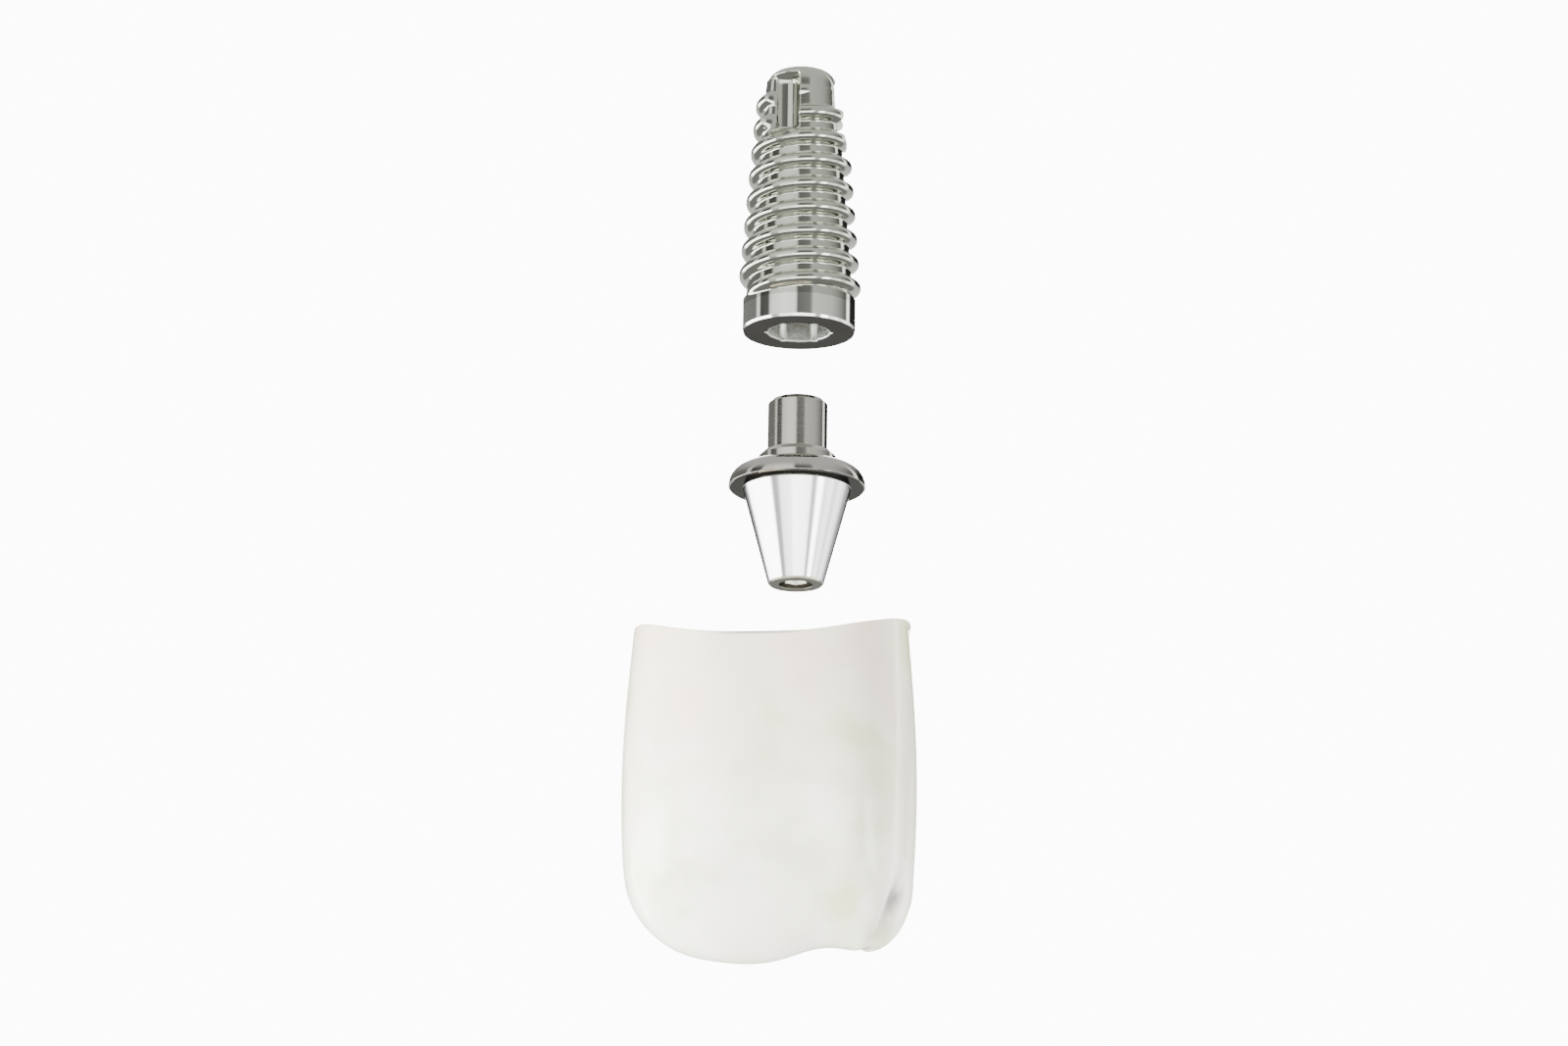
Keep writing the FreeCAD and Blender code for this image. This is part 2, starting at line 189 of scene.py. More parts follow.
# The thread and the flutes as one rule: every point of the outside is moved out to the ridge that runs
# round in a right-hand helix, then in to the three flutes
def thread_rule():
    rule = bpy.data.node_groups.new("right_hand_thread", "GeometryNodeTree")
    rule.interface.new_socket("Geometry", in_out="INPUT", socket_type="NodeSocketGeometry")
    for label in ("Pitch", "Start", "End", "Core Radius", "Taper", "Taper Start", "Ridge Height", "Ridge Base",
                  "Ridge Fillet", "Flute Radius", "Flute Centre", "Flute Start"):
        rule.interface.new_socket(label, in_out="INPUT", socket_type="NodeSocketFloat")
    rule.interface.new_socket("Metal", in_out="INPUT", socket_type="NodeSocketMaterial")
    rule.interface.new_socket("Geometry", in_out="OUTPUT", socket_type="NodeSocketGeometry")
    given = add(rule, "NodeGroupInput").outputs
    run_in, run_out_turns, crest_power, flute_slope = 0.17, 0.4, 2.8, 1.6
    place = add(rule, "GeometryNodeInputPosition")
    xyz = add(rule, "ShaderNodeSeparateXYZ", {0: place}).outputs
    bearing = add(rule, "ShaderNodeMath", {0: xyz[1], 1: xyz[0]}, operation="ARCTAN2")
    flat = add(rule, "ShaderNodeVectorMath", {0: place, 1: (1, 1, 0)}, operation="MULTIPLY")
    radius = add(rule, "ShaderNodeVectorMath", {0: flat}, operation="LENGTH").outputs["Value"]
    # Turns from the start of the helix, which is at the bearing of 180 degrees
    climbed = add(rule, "ShaderNodeMath", {0: xyz[2], 1: given["Start"]}, operation="SUBTRACT")
    turns = add(rule, "ShaderNodeMath", {0: climbed, 1: given["Pitch"]}, operation="DIVIDE")
    share = add(rule, "ShaderNodeMath", {0: bearing, 1: -0.5 / math.pi, 2: 0.5}, operation="MULTIPLY_ADD")
    phase = add(rule, "ShaderNodeMath", {0: turns, 1: share}, operation="ADD")
    whole = add(rule, "ShaderNodeMath", {0: phase}, operation="ROUND")
    part = add(rule, "ShaderNodeMath", {0: phase, 1: whole}, operation="SUBTRACT")
    aside = add(rule, "ShaderNodeMath", {0: part, 1: given["Pitch"]}, operation="MULTIPLY")
    crest = add(rule, "ShaderNodeMath", {0: xyz[2], 1: aside}, operation="SUBTRACT")
    # Height of the ridge: it rises over a sixth of a turn at the start and dies out at the end
    rise_end = add(rule, "ShaderNodeMath", {0: given["Pitch"], 1: run_in, 2: given["Start"]},
                   operation="MULTIPLY_ADD")
    rise = add(rule, "ShaderNodeMapRange", {0: crest, 1: given["Start"], 2: rise_end, 3: 0.0, 4: 1.0},
               interpolation_type="SMOOTHSTEP")
    fall_start = add(rule, "ShaderNodeMath", {0: given["Pitch"], 1: -run_out_turns, 2: given["End"]},
                     operation="MULTIPLY_ADD")
    fall = add(rule, "ShaderNodeMapRange", {0: crest, 1: fall_start, 2: given["End"], 3: 1.0, 4: 0.0},
               interpolation_type="SMOOTHSTEP")
    fade = add(rule, "ShaderNodeMath", {0: rise, 1: fall}, operation="MULTIPLY")
    tall = add(rule, "ShaderNodeMath", {0: fade, 1: given["Ridge Height"]}, operation="MULTIPLY")
    # Section of the ridge: round on the crest, steep on the flanks
    off = add(rule, "ShaderNodeMath", {0: aside}, operation="ABSOLUTE")
    out = add(rule, "ShaderNodeMath", {0: off, 1: given["Ridge Base"]}, operation="DIVIDE")
    doubled = add(rule, "ShaderNodeMath", {0: out, 1: 2.0}, operation="MULTIPLY")
    curved = add(rule, "ShaderNodeMath", {0: doubled, 1: crest_power}, operation="POWER")
    drop = add(rule, "ShaderNodeMath", {0: curved, 1: given["Ridge Height"]}, operation="MULTIPLY")
    # The tapered core below that point of the crest, and the ridge on it
    up = add(rule, "ShaderNodeMath", {0: crest, 1: given["Taper Start"]}, operation="SUBTRACT")
    above = add(rule, "ShaderNodeMath", {0: up, 1: 0.0}, operation="MAXIMUM")
    narrowed = add(rule, "ShaderNodeMath", {0: above, 1: given["Taper"]}, operation="MULTIPLY")
    core = add(rule, "ShaderNodeMath", {0: given["Core Radius"], 1: narrowed}, operation="SUBTRACT")
    top = add(rule, "ShaderNodeMath", {0: core, 1: tall}, operation="ADD")
    ridge = add(rule, "ShaderNodeMath", {0: top, 1: drop}, operation="SUBTRACT")
    raised = add(rule, "ShaderNodeMath", {0: radius, 1: ridge, 2: given["Ridge Fillet"]},
                 operation="SMOOTH_MAX")
    # Flutes: three round grooves along the axis, cut into ridge and core alike
    third = add(rule, "ShaderNodeMath", {0: bearing, 1: -math.pi / 3, 2: math.pi / 3}, operation="WRAP")
    cosine = add(rule, "ShaderNodeMath", {0: third}, operation="COSINE")
    sine = add(rule, "ShaderNodeMath", {0: third}, operation="SINE")
    along = add(rule, "ShaderNodeMath", {0: cosine, 1: given["Flute Centre"]}, operation="MULTIPLY")
    across = add(rule, "ShaderNodeMath", {0: sine, 1: given["Flute Centre"]}, operation="MULTIPLY")
    across_2 = add(rule, "ShaderNodeMath", {0: across, 1: across}, operation="MULTIPLY")
    radius_2 = add(rule, "ShaderNodeMath", {0: given["Flute Radius"], 1: given["Flute Radius"]},
                   operation="MULTIPLY")
    left = add(rule, "ShaderNodeMath", {0: radius_2, 1: across_2}, operation="SUBTRACT")
    depth = add(rule, "ShaderNodeMath", {0: left}, operation="SQRT")
    near = add(rule, "ShaderNodeMath", {0: along, 1: depth}, operation="SUBTRACT")
    below = add(rule, "ShaderNodeMath", {0: given["Flute Start"], 1: xyz[2]}, operation="SUBTRACT")
    sloped = add(rule, "ShaderNodeMath", {0: below, 1: -0.0002}, operation="MAXIMUM")
    run_out = add(rule, "ShaderNodeMath", {0: sloped, 1: flute_slope, 2: near}, operation="MULTIPLY_ADD")
    inside = add(rule, "ShaderNodeMath", {0: left, 1: 0.0}, operation="GREATER_THAN")
    cut = add(rule, "ShaderNodeMath", {0: raised, 1: run_out}, operation="MINIMUM")
    carved = add(rule, "ShaderNodeMix", {0: inside, 2: raised, 3: cut}, data_type="FLOAT")
    scale = add(rule, "ShaderNodeMath", {0: carved, 1: radius}, operation="DIVIDE")
    moved = add(rule, "ShaderNodeVectorMath", {0: flat, "Scale": scale}, operation="SCALE")
    back_up = add(rule, "ShaderNodeCombineXYZ", {2: xyz[2]})
    target = add(rule, "ShaderNodeVectorMath", {0: moved, 1: back_up}, operation="ADD")
    outside = add(rule, "GeometryNodeInputNamedAttribute", {"Name": "outside"}, data_type="FLOAT")
    chosen = add(rule, "ShaderNodeMath", {0: outside.outputs[0], 1: 0.5}, operation="GREATER_THAN")
    set_place = add(rule, "GeometryNodeSetPosition", {0: given["Geometry"], 1: chosen, 2: target})
    whole_piece = add(rule, "GeometryNodeRealizeInstances", {0: set_place})
    metal_at = add(rule, "GeometryNodeInputMaterialIndex")
    first = add(rule, "FunctionNodeCompare", {2: metal_at, 3: 0}, data_type="INT", operation="EQUAL")
    dressed = add(rule, "GeometryNodeSetMaterial", {0: whole_piece, 1: first, 2: given["Metal"]})
    add(rule, "NodeGroupOutput", {0: dressed})
    return rule


# A turned piece given its thread: the rule's result is kept as a plain mesh
def threaded(piece, rule, sizes, metals, lowest):
    marked = piece.data.attributes.new("outside", "FLOAT", "POINT")
    for point, value in zip(piece.data.vertices, marked.data):
        value.value = float(lowest(point.co / MM))
    for metal in metals:
        piece.data.materials.append(metal)
    made = piece.modifiers.new("thread", "NODES")
    made.node_group = rule
    for item in rule.interface.items_tree:
        if item.in_out == "INPUT" and item.name in sizes:
            made[item.identifier] = sizes[item.name]
        if item.in_out == "INPUT" and item.name == "Metal":
            made[item.identifier] = metals[0]
    view = bpy.context.evaluated_depsgraph_get()
    view.update()
    plain = bpy.data.meshes.new_from_object(piece.evaluated_get(view), depsgraph=view)
    piece.modifiers.remove(made)
    piece.data = plain


# Six shallow lobes round the mouth of the bore, for the driver
def fixture_reach(bearing, r, z):
    if abs(r - BORE_RADIUS) > LOBE_BAND or z > LOBE_TOP:
        return r
    off = math.radians((math.degrees(bearing) + 30) % 60 - 30)
    middle = BORE_RADIUS - LOBE_RADIUS / 4
    left = LOBE_RADIUS ** 2 - (middle * math.sin(off)) ** 2
    return max(r, r - BORE_RADIUS + middle * math.cos(off) + math.sqrt(left)) if left > 0 else r


# The finishes of the fixture, in the order of its materials
ON_THREAD, ON_PLATFORM, ON_BORE, ON_COLLAR = range(4)


def fixture_zone(low, high):
    inside = low[0] < BORE_RADIUS + 0.04 and high[0] < BORE_RADIUS + 0.2
    if inside and low[1] > -0.01 and max(low[1], high[1]) < BORE_DEPTH + SCREW_HOLE_DEPTH + 0.18:
        return ON_BORE
    if abs(low[1]) < 0.02 and abs(high[1]) < 0.02:
        return ON_PLATFORM
    return ON_COLLAR if max(low[1], high[1]) < POLISHED_HEIGHT + 0.01 else ON_THREAD


bore_side = softened([
    (0, BORE_DEPTH + SCREW_HOLE_DEPTH + 0.2, 0),
    (SCREW_HOLE, BORE_DEPTH + SCREW_HOLE_DEPTH, 0.02),
    (SCREW_HOLE, BORE_DEPTH, 0.03),
    (BORE_RADIUS, BORE_DEPTH, 0.03),
    (BORE_RADIUS, LOBE_TOP + 0.02, 0),
    (BORE_RADIUS, LOBE_TOP, 0),
    (BORE_RADIUS, 0, 0.05),
    (PLATFORM_RADIUS - RIM_BREAK[0], 0, 0.01),
    (PLATFORM_RADIUS, RIM_BREAK[1], 0.02),
    (PLATFORM_RADIUS, POLISHED_HEIGHT, 0),
])
thread_side = [(PLATFORM_RADIUS, POLISHED_HEIGHT + 0.04 * k) for k in range(1, 8)]
thread_side += [
    (PLATFORM_RADIUS - CORE_RELIEF * k / 3, COLLAR_TOP + CORE_RELIEF * k / 3) for k in range(0, 3)
]
for k in range(THREAD_LEVELS + 1):
    level = TAPER_START + (APEX_LEVEL - COLLAR_TOP - CORE_RELIEF) * k / THREAD_LEVELS
    thread_side.append((CORE_RADIUS - (level - COLLAR_TOP - CORE_RELIEF) * TAPER, level))
apex_side = [
    (APEX_FLAT + (APEX_RADIUS - APEX_FLAT) * math.cos(a) ** 0.9,
     APEX_LEVEL + (FIXTURE_LENGTH - APEX_LEVEL) * math.sin(a))
    for a in [math.pi / 2 * k / 14 for k in range(1, 15)]
] + [(APEX_FLAT / 2, FIXTURE_LENGTH), (0, FIXTURE_LENGTH)]
fixture = turned_skin("fixture_body", bore_side + thread_side + apex_side, FIXTURE_SIDES, fixture_reach,
                      zone=fixture_zone)
# The thread is left a little duller and darker by the acid that cleans it; the collar keeps its mirror polish
thread_metal = polished_titanium("etched_titanium_thread", "#B5B7AC", "#A5A89C", 0.07, 0.10)
collar_metal = polished_titanium("polished_titanium_collar", "#D8D8D1", "#CBCEC4", 0.05, 0.08)
# Painted shade: the platform is painted dark and its glancing mirror dimmed. Painted light: the fine-blasted
# bore, which spreads the light in it, is painted near-white so that it stays bright deep inside
platform_metal = polished_titanium("titanium_platform_painted_shade", "#605F5B", "#575652", 0.14, 0.03, 0.42)
bore_metal = polished_titanium("satin_titanium_bore_painted_light", "#F4F4F0", "#E6E8E2", 0.32, 0.30)
right_hand_thread = thread_rule()
threaded(fixture, right_hand_thread, {
    "Pitch": PITCH * MM, "Start": THREAD_START * MM, "End": THREAD_END * MM,
    "Core Radius": CORE_RADIUS * MM, "Taper": TAPER, "Taper Start": TAPER_START * MM,
    "Ridge Height": RIDGE_HEIGHT * MM, "Ridge Base": RIDGE_BASE * MM, "Ridge Fillet": RIDGE_FILLET * MM,
    "Flute Radius": FLUTE_RADIUS * MM, "Flute Centre": (APEX_RADIUS + FLUTE_RADIUS - FLUTE_DEPTH) * MM,
    "Flute Start": FLUTE_START * MM,
}, (thread_metal, platform_metal, bore_metal, collar_metal),
    lambda p: math.hypot(p.x, p.y) > BORE_RADIUS + 0.14 and p.z > POLISHED_HEIGHT - 0.01)
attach(fixture, "implant_body")
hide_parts("implant_fixture")

# ABUTMENT
# The turned titanium core that carries the tooth: a round post for the fixture's bore, a bevelled step,
# a domed flange on which the crown seats, and a smooth cone that the crown is cemented to.
POST_TOP = -2.59
POST_RADIUS = 1.08
POST_BEVEL = 0.16
SHOULDER = -4.55
STEP_RADIUS = 1.40
STEP_HEIGHT = 0.57
STEP_BEVEL = 0.18
FLANGE_RADIUS = 2.48
FLANGE_HEIGHT = 0.80
FLANGE_DOME = 0.70
FLANGE_LIP = 0.06
CONE_RADIUS = 1.96
CONE_TIP_RADIUS = 1.01
CONE_LENGTH = 3.60
TIP_BEVEL = 0.07
CHANNEL_RADIUS = 0.60
CHANNEL_NECK = 0.45
FLANGE_TOP = SHOULDER - STEP_HEIGHT
FLANGE_FACE = SHOULDER - STEP_HEIGHT - FLANGE_HEIGHT
TIP = SHOULDER - STEP_HEIGHT - FLANGE_HEIGHT - CONE_LENGTH
# The finishes of the abutment, in the order of its materials
ON_FLANGE, ON_TIP, ON_CHANNEL, ON_CONE, ON_POST, ON_FLANGE_FACE = range(6)


def abutment_zone(low, high):
    if abs(low[1] - TIP) < 0.02 and abs(high[1] - TIP) < 0.02:
        return ON_TIP
    if abs(low[1] - FLANGE_FACE) < 0.015 and abs(high[1] - FLANGE_FACE) < 0.015:
        return ON_FLANGE_FACE
    if max(low[0], high[0]) < CHANNEL_RADIUS + 0.06:
        return ON_CHANNEL
    if max(low[0], high[0]) < STEP_RADIUS + 0.05 and min(low[1], high[1]) > FLANGE_TOP - 0.01:
        return ON_POST
    on_cone = max(low[1], high[1]) < FLANGE_FACE + 0.02 and max(low[0], high[0]) < CONE_RADIUS + 0.03
    return ON_CONE if on_cone else ON_FLANGE


abutment_outline = softened([
    (CHANNEL_RADIUS, TIP, 0.03),
    (CONE_TIP_RADIUS - TIP_BEVEL, TIP, 0.02),
    (CONE_TIP_RADIUS, TIP + TIP_BEVEL, 0.03),
    (CONE_RADIUS, FLANGE_FACE, 0.05),
    (FLANGE_RADIUS - FLANGE_LIP, FLANGE_FACE, 0.02),
    (FLANGE_RADIUS, FLANGE_FACE + FLANGE_LIP, 0.02),
    (FLANGE_RADIUS, FLANGE_TOP, FLANGE_DOME),
    (STEP_RADIUS, FLANGE_TOP, 0.04),
    (STEP_RADIUS, SHOULDER - STEP_BEVEL, 0.03),
    (STEP_RADIUS - STEP_BEVEL, SHOULDER, 0.03),
    (POST_RADIUS, SHOULDER, 0.02),
    (POST_RADIUS, POST_TOP - POST_BEVEL, 0.05),
    (POST_RADIUS - POST_BEVEL, POST_TOP, 0.03),
    (CHANNEL_NECK, POST_TOP, 0.03),
    (CHANNEL_NECK, TIP + 3.55, 0.03),
    (CHANNEL_RADIUS, TIP + 3.39, 0.03),
], arc=8, closed=True)
abutment = turned_skin("abutment_core", abutment_outline, FIXTURE_SIDES, closed=True, zone=abutment_zone)
flange_metal = polished_titanium("polished_titanium_abutment", "#B0ADA7", "#A5A49D", 0.07, 0.10)
# Painted shade: the tip's end face is painted a darker grey than the rest of the titanium, with its glancing
# mirror dimmed
tip_metal = polished_titanium("titanium_tip_painted_shade", "#918F88", "#85847E", 0.14, 0.04, 0.46)
# Painted shade: the inside of the channel is painted a dark grey
channel_metal = polished_titanium("satin_titanium_channel_painted_shade", "#77766F", "#6A6B65", 0.30, 0.20)
# Painted reflections: the cone is painted near-white with soft grey streaks from rim to tip, set by bearing,
# and its glancing mirror is dimmed to paint dark rims
cone_metal = polished_titanium("titanium_cone_painted_reflections", "#F4F4F3", "#ECECEA", 0.12, 0.05, 0.15)
tree = cone_metal.node_tree
xyz = add(tree, "ShaderNodeSeparateXYZ", {0: add(tree, "ShaderNodeTexCoord").outputs["Object"]}).outputs
bearing = add(tree, "ShaderNodeMath", {0: xyz[1], 1: xyz[0]}, operation="ARCTAN2")
share = add(tree, "ShaderNodeMath", {0: bearing, 1: 0.5 / math.pi, 2: 0.5}, operation="MULTIPLY_ADD")
painted_reflection_ramp = add(tree, "ShaderNodeValToRGB", {0: share})
# Degrees round the cone, and how bright the painted reflection leaves the metal there
CONE_PAINTED_REFLECTIONS = (
    (-180, 0.95), (-160, 0.80), (-150, 0.97), (-131, 1.0), (-122, 1.0), (-119, 0.70), (-112, 0.80),
    (-104, 0.93), (-92, 0.97), (-80, 0.93), (-72, 0.76), (-69, 0.93), (-60, 0.86), (-48, 0.95), (-30, 0.80),
    (-10, 0.97), (15, 0.78), (30, 0.96), (58, 0.84), (75, 0.97), (98, 0.75), (110, 0.95), (140, 0.85),
    (160, 0.97), (180, 0.95),
)
fill_round(painted_reflection_ramp.color_ramp, CONE_PAINTED_REFLECTIONS)
shader = tree.nodes["Principled BSDF"]
# The painted reflection streaks multiply the cone's colour
drawn = add(tree, "ShaderNodeMix", {0: 1.0, 6: shader.inputs["Base Color"].links[0].from_socket,
                                    7: painted_reflection_ramp.outputs[0]}, data_type="RGBA", blend_type="MULTIPLY")
tree.links.new(drawn.outputs[2], shader.inputs["Base Color"])
# The post is ground, not polished, so narrow lights spread into plain grey bands on it
post_metal = polished_titanium("ground_titanium_post", "#B9B7AE", "#ACACA2", 0.12, 0.03)
# Painted shade: the face under the flange is painted dark and its glancing mirror dimmed, as the platform is
face_metal = polished_titanium("titanium_flange_face_painted_shade", "#5F5F5A", "#565652", 0.13, 0.03, 0.44)
for metal in (flange_metal, tip_metal, channel_metal, cone_metal, post_metal, face_metal):
    abutment.data.materials.append(metal)
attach(abutment, "abutment_body")
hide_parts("abutment")

# ABUTMENT SCREW
# The small titanium screw that holds the abutment in the fixture: a round head with a six-sided socket,
# a waisted shank and a fine thread. It goes up through the abutment's channel from the cone's end.
HEAD_FACE = TIP + 0.12
HEAD_RADIUS = 0.57
HEAD_HEIGHT = 0.85
HEAD_CONE = 0.16
SHANK_RADIUS = 0.33
SCREW_TIP = HEAD_FACE + 6.73
SCREW_THREAD = 1.9
SOCKET_FLATS = 0.72
SOCKET_DEPTH = 0.50
# The finishes of the screw, in the order of its materials
ON_SHANK, ON_HEAD, ON_SOCKET = range(3)


def socket_reach(bearing, r, z):
    if z > HEAD_FACE + SOCKET_DEPTH + 0.03 or r > 0.45:
        return r
    off = (math.degrees(bearing) + 30) % 60 - 30
    hexagon = 0.5 * SOCKET_FLATS / math.cos(math.radians(off))
    return hexagon * r / (0.5 * SOCKET_FLATS)


def screw_zone(low, high):
    if max(low[0], high[0]) < 0.40 and max(low[1], high[1]) < HEAD_FACE + SOCKET_DEPTH + 0.13:
        return ON_SOCKET
    return ON_HEAD if max(low[1], high[1]) < HEAD_FACE + 0.02 else ON_SHANK


flat = 0.5 * SOCKET_FLATS
head_side = softened([
    (0, HEAD_FACE + SOCKET_DEPTH + 0.12, 0),
    (flat, HEAD_FACE + SOCKET_DEPTH, 0.01),
    (flat, HEAD_FACE + 0.03, 0.0),
    (flat + 0.03, HEAD_FACE, 0.0),
    (HEAD_RADIUS - 0.05, HEAD_FACE, 0.02),
    (HEAD_RADIUS, HEAD_FACE + 0.05, 0.02),
    (HEAD_RADIUS, HEAD_FACE + HEAD_HEIGHT, 0.03),
    (SHANK_RADIUS, HEAD_FACE + HEAD_HEIGHT + HEAD_CONE, 0.05),
    (SHANK_RADIUS, SCREW_TIP - SCREW_THREAD - 0.09, 0.05),
    (SHANK_RADIUS, SCREW_TIP - SCREW_THREAD, 0),
])
shank_side = [(SHANK_RADIUS, SCREW_TIP - SCREW_THREAD + 1.8 * k / 110) for k in range(1, 111)]
screw = turned_skin("abutment_screw_piece", head_side + shank_side + [(0.27, SCREW_TIP), (0, SCREW_TIP)], 96,
                    socket_reach, zone=screw_zone)
# Painted shade: the head's face, at the bottom of the cone's channel, is painted dark and its glancing mirror
# dimmed
screw_metals = (
    polished_titanium("polished_titanium_screw", "#D6D6D2", "#C8CAC4", 0.12, 0.12),
    polished_titanium("titanium_screw_head_painted_shade", "#55554F", "#4A4A46", 0.12, 0.04, 0.42),
    polished_titanium("satin_titanium_socket", "#F0F0EC", "#E2E2DC", 0.30, 0.20),
)
# The same rule with no taper, and with flutes too far out to touch the metal
threaded(screw, right_hand_thread, {
    "Pitch": 0.25 * MM, "Start": (SCREW_TIP - 1.75) * MM, "End": (SCREW_TIP - 0.12) * MM,
    "Core Radius": SHANK_RADIUS * MM, "Taper": 0.0, "Taper Start": 0.0,
    "Ridge Height": 0.085 * MM, "Ridge Base": 0.21 * MM, "Ridge Fillet": RIDGE_FILLET * MM,
    "Flute Radius": 0.0001 * MM, "Flute Centre": 5.0 * MM, "Flute Start": 50.0 * MM,
}, screw_metals, lambda p: p.z > SCREW_TIP - SCREW_THREAD - 0.03 and math.hypot(p.x, p.y) > 0.3)
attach(screw, "screw_body")
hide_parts("abutment_screw")

# CROWN
# The tooth itself: glazed porcelain fired over a thin core, with soft cusps and a wavy margin at the neck.
# A dish and a tapered socket in its top take the abutment's flange and cone, held there by cement.
SEAT = -12.50
CROWN_SHIFT = -0.85
CROWN_HEIGHT = 12.02
CUSP_RELIEF = 2.4
BELLY = 5.6
WIDEST = (5.37, 4.8)
NECK = (5.025, 4.1)
MARGIN_DROP = 0.14
MARGIN_RISE = 1.10
MARGIN_TILT = math.tan(math.radians(2.0))
DISH_RADIUS = 3.6
DISH_DEPTH = 0.30
SEAT_RADIUS = 2.52
# The tapered socket, as radius and level below the seat, from its mouth to its floor
SOCKET_SIDE = ((2.04, 0.0), (2.0, -0.02), (1.52, -1.83), (1.06, -3.6), (1.02, -3.64), (0.5, -3.64))
LIP_HEIGHT = 0.05
LIP_WIDTH = 0.06
CUSPS = (
    (-0.577, -0.36, 0.42, 0.645), (0.03, -0.36, 0.42, 0.814), (0.78, -0.36, 0.34, 0.79),
    (-0.32, 0.44, 0.40, 0.32), (0.52, 0.42, 0.40, 0.20), (0.08, 0.08, 0.30, -0.22),
)
# Fine grooves on the biting face between the cusps, as shares of the half-width and half-depth, and the one
# that runs down the cheek side's back corner, in millimetres across and below the seat
FISSURES = (
    ((-0.66, 0.10), (-0.34, 0.05), (0.10, 0.10), (0.44, 0.05), (0.70, 0.12)),
    ((-0.34, 0.05), (-0.30, -0.16)),
    ((0.44, 0.05), (0.56, -0.20), (0.66, -0.34)),
    ((0.10, 0.10), (0.14, 0.36), (0.10, 0.66)),
)
CORNER_GROOVE = (
    (2.62, -11.2), (2.80, -10.7), (3.19, -10.15), (3.50, -9.45), (3.76, -8.75), (3.98, -7.95), (4.05, -7.3),
)
# Soft valleys in the wall: bearing in degrees, depth as a share of the distance out, half-width in degrees
VALLEYS = ((-76, 0.028, 13), (-24, 0.060, 9), (8, 0.020, 14), (82, 0.045, 14), (178, 0.020, 16))
COLUMNS = 28
AROUND = 320
WALL_STEPS = 150


def wall_point(bearing, across, level, fade):
    x, y = math.cos(bearing), math.sin(bearing)
    reach = (abs(x) ** 3 + abs(y) ** 3) ** (-1 / 3)
    carve = 0
    for centre, deep, wide in VALLEYS:
        off = (math.degrees(bearing) - centre + 180) % 360 - 180
        carve += deep * math.exp(-(off / wide) ** 2)
    keep = 1 - fade * carve
    return Vector((across[0] * reach * x * keep, across[1] * reach * y * keep, DISH_DEPTH - level))


# One column of the form's control points, from above the margin down the wall and in over the cusps
def crown_column(bearing):
    column = []
    for share in (-0.16, 0.2, 0.46, 0.73):
        swell = math.sin(math.pi / 2 * share)
        across = [n + (w - n) * swell for n, w in zip(NECK, WIDEST)]
        column.append(wall_point(bearing, across, share * BELLY, max(share, 0)))
    ends = math.cos(bearing) ** 2
    side, closing = 3.0 + 5.0 * ends, 2.6 + 1.4 * ends
    shares = [math.cos(math.radians(a)) ** (2 / side) for a in (0, 20, 40, 60)]
    shares += [shares[-1] * (1 - k / 6) for k in range(1, 7)]
    for share in shares:
        spot = wall_point(bearing, [w * share for w in WIDEST], 0, share ** 2)
        closed = max(1 - share ** side, 0) ** (1 / closing)
        x, y = spot.x / WIDEST[0], spot.y / WIDEST[1]
        bumps = sum(tall * math.exp(-((x - a) ** 2 + (y - b) ** 2) / wide ** 2) for a, b, wide, tall in CUSPS)
        floor = CROWN_HEIGHT - CUSP_RELIEF * (1 - bumps)
        column.append(Vector((spot.x, spot.y, DISH_DEPTH - BELLY - (floor - BELLY) * closed)))
    return column


# Four neighbouring points weighed together as a cubic spline does
def blend(points, f):
    weights = ((1 - f) ** 3, 3 * f ** 3 - 6 * f ** 2 + 4, -3 * f ** 3 + 3 * f ** 2 + 3 * f + 1, f ** 3)
    return sum((w / 6 * p for w, p in zip(weights, points)), Vector((0, 0, 0)))


# A point of the cubic spline over control points, with its ends held
def on_spline(points, t):
    padded = [2 * points[0] - points[1]] + points + [2 * points[-1] - points[-2]]
    spot = min(t, 1 - 1e-9) * (len(points) - 1)
    i, f = int(spot), spot - int(spot)
    return blend(padded[i:i + 4], f)


def margin_level(x):
    off = (x - CROWN_SHIFT) / NECK[0]
    swell = 0.14 * math.exp(-((off - 0.60) / 0.30) ** 2)
    return DISH_DEPTH - MARGIN_DROP + MARGIN_RISE * abs(off) ** 3 + off * NECK[0] * MARGIN_TILT + swell


# How far a place is from a line of points, and on which side of it
def from_line(spot, line):
    nearest = (9.0, 1.0)
    for a, b in zip(line, line[1:]):
        a, b = Vector(a), Vector(b)
        along = max(0.0, min(1.0, (spot - a).dot(b - a) / (b - a).length_squared))
        off = spot - a.lerp(b, along)
        if off.length < nearest[0]:
            nearest = (off.length, 1.0 if off.cross(b - a) > 0 else -1.0)
    return nearest


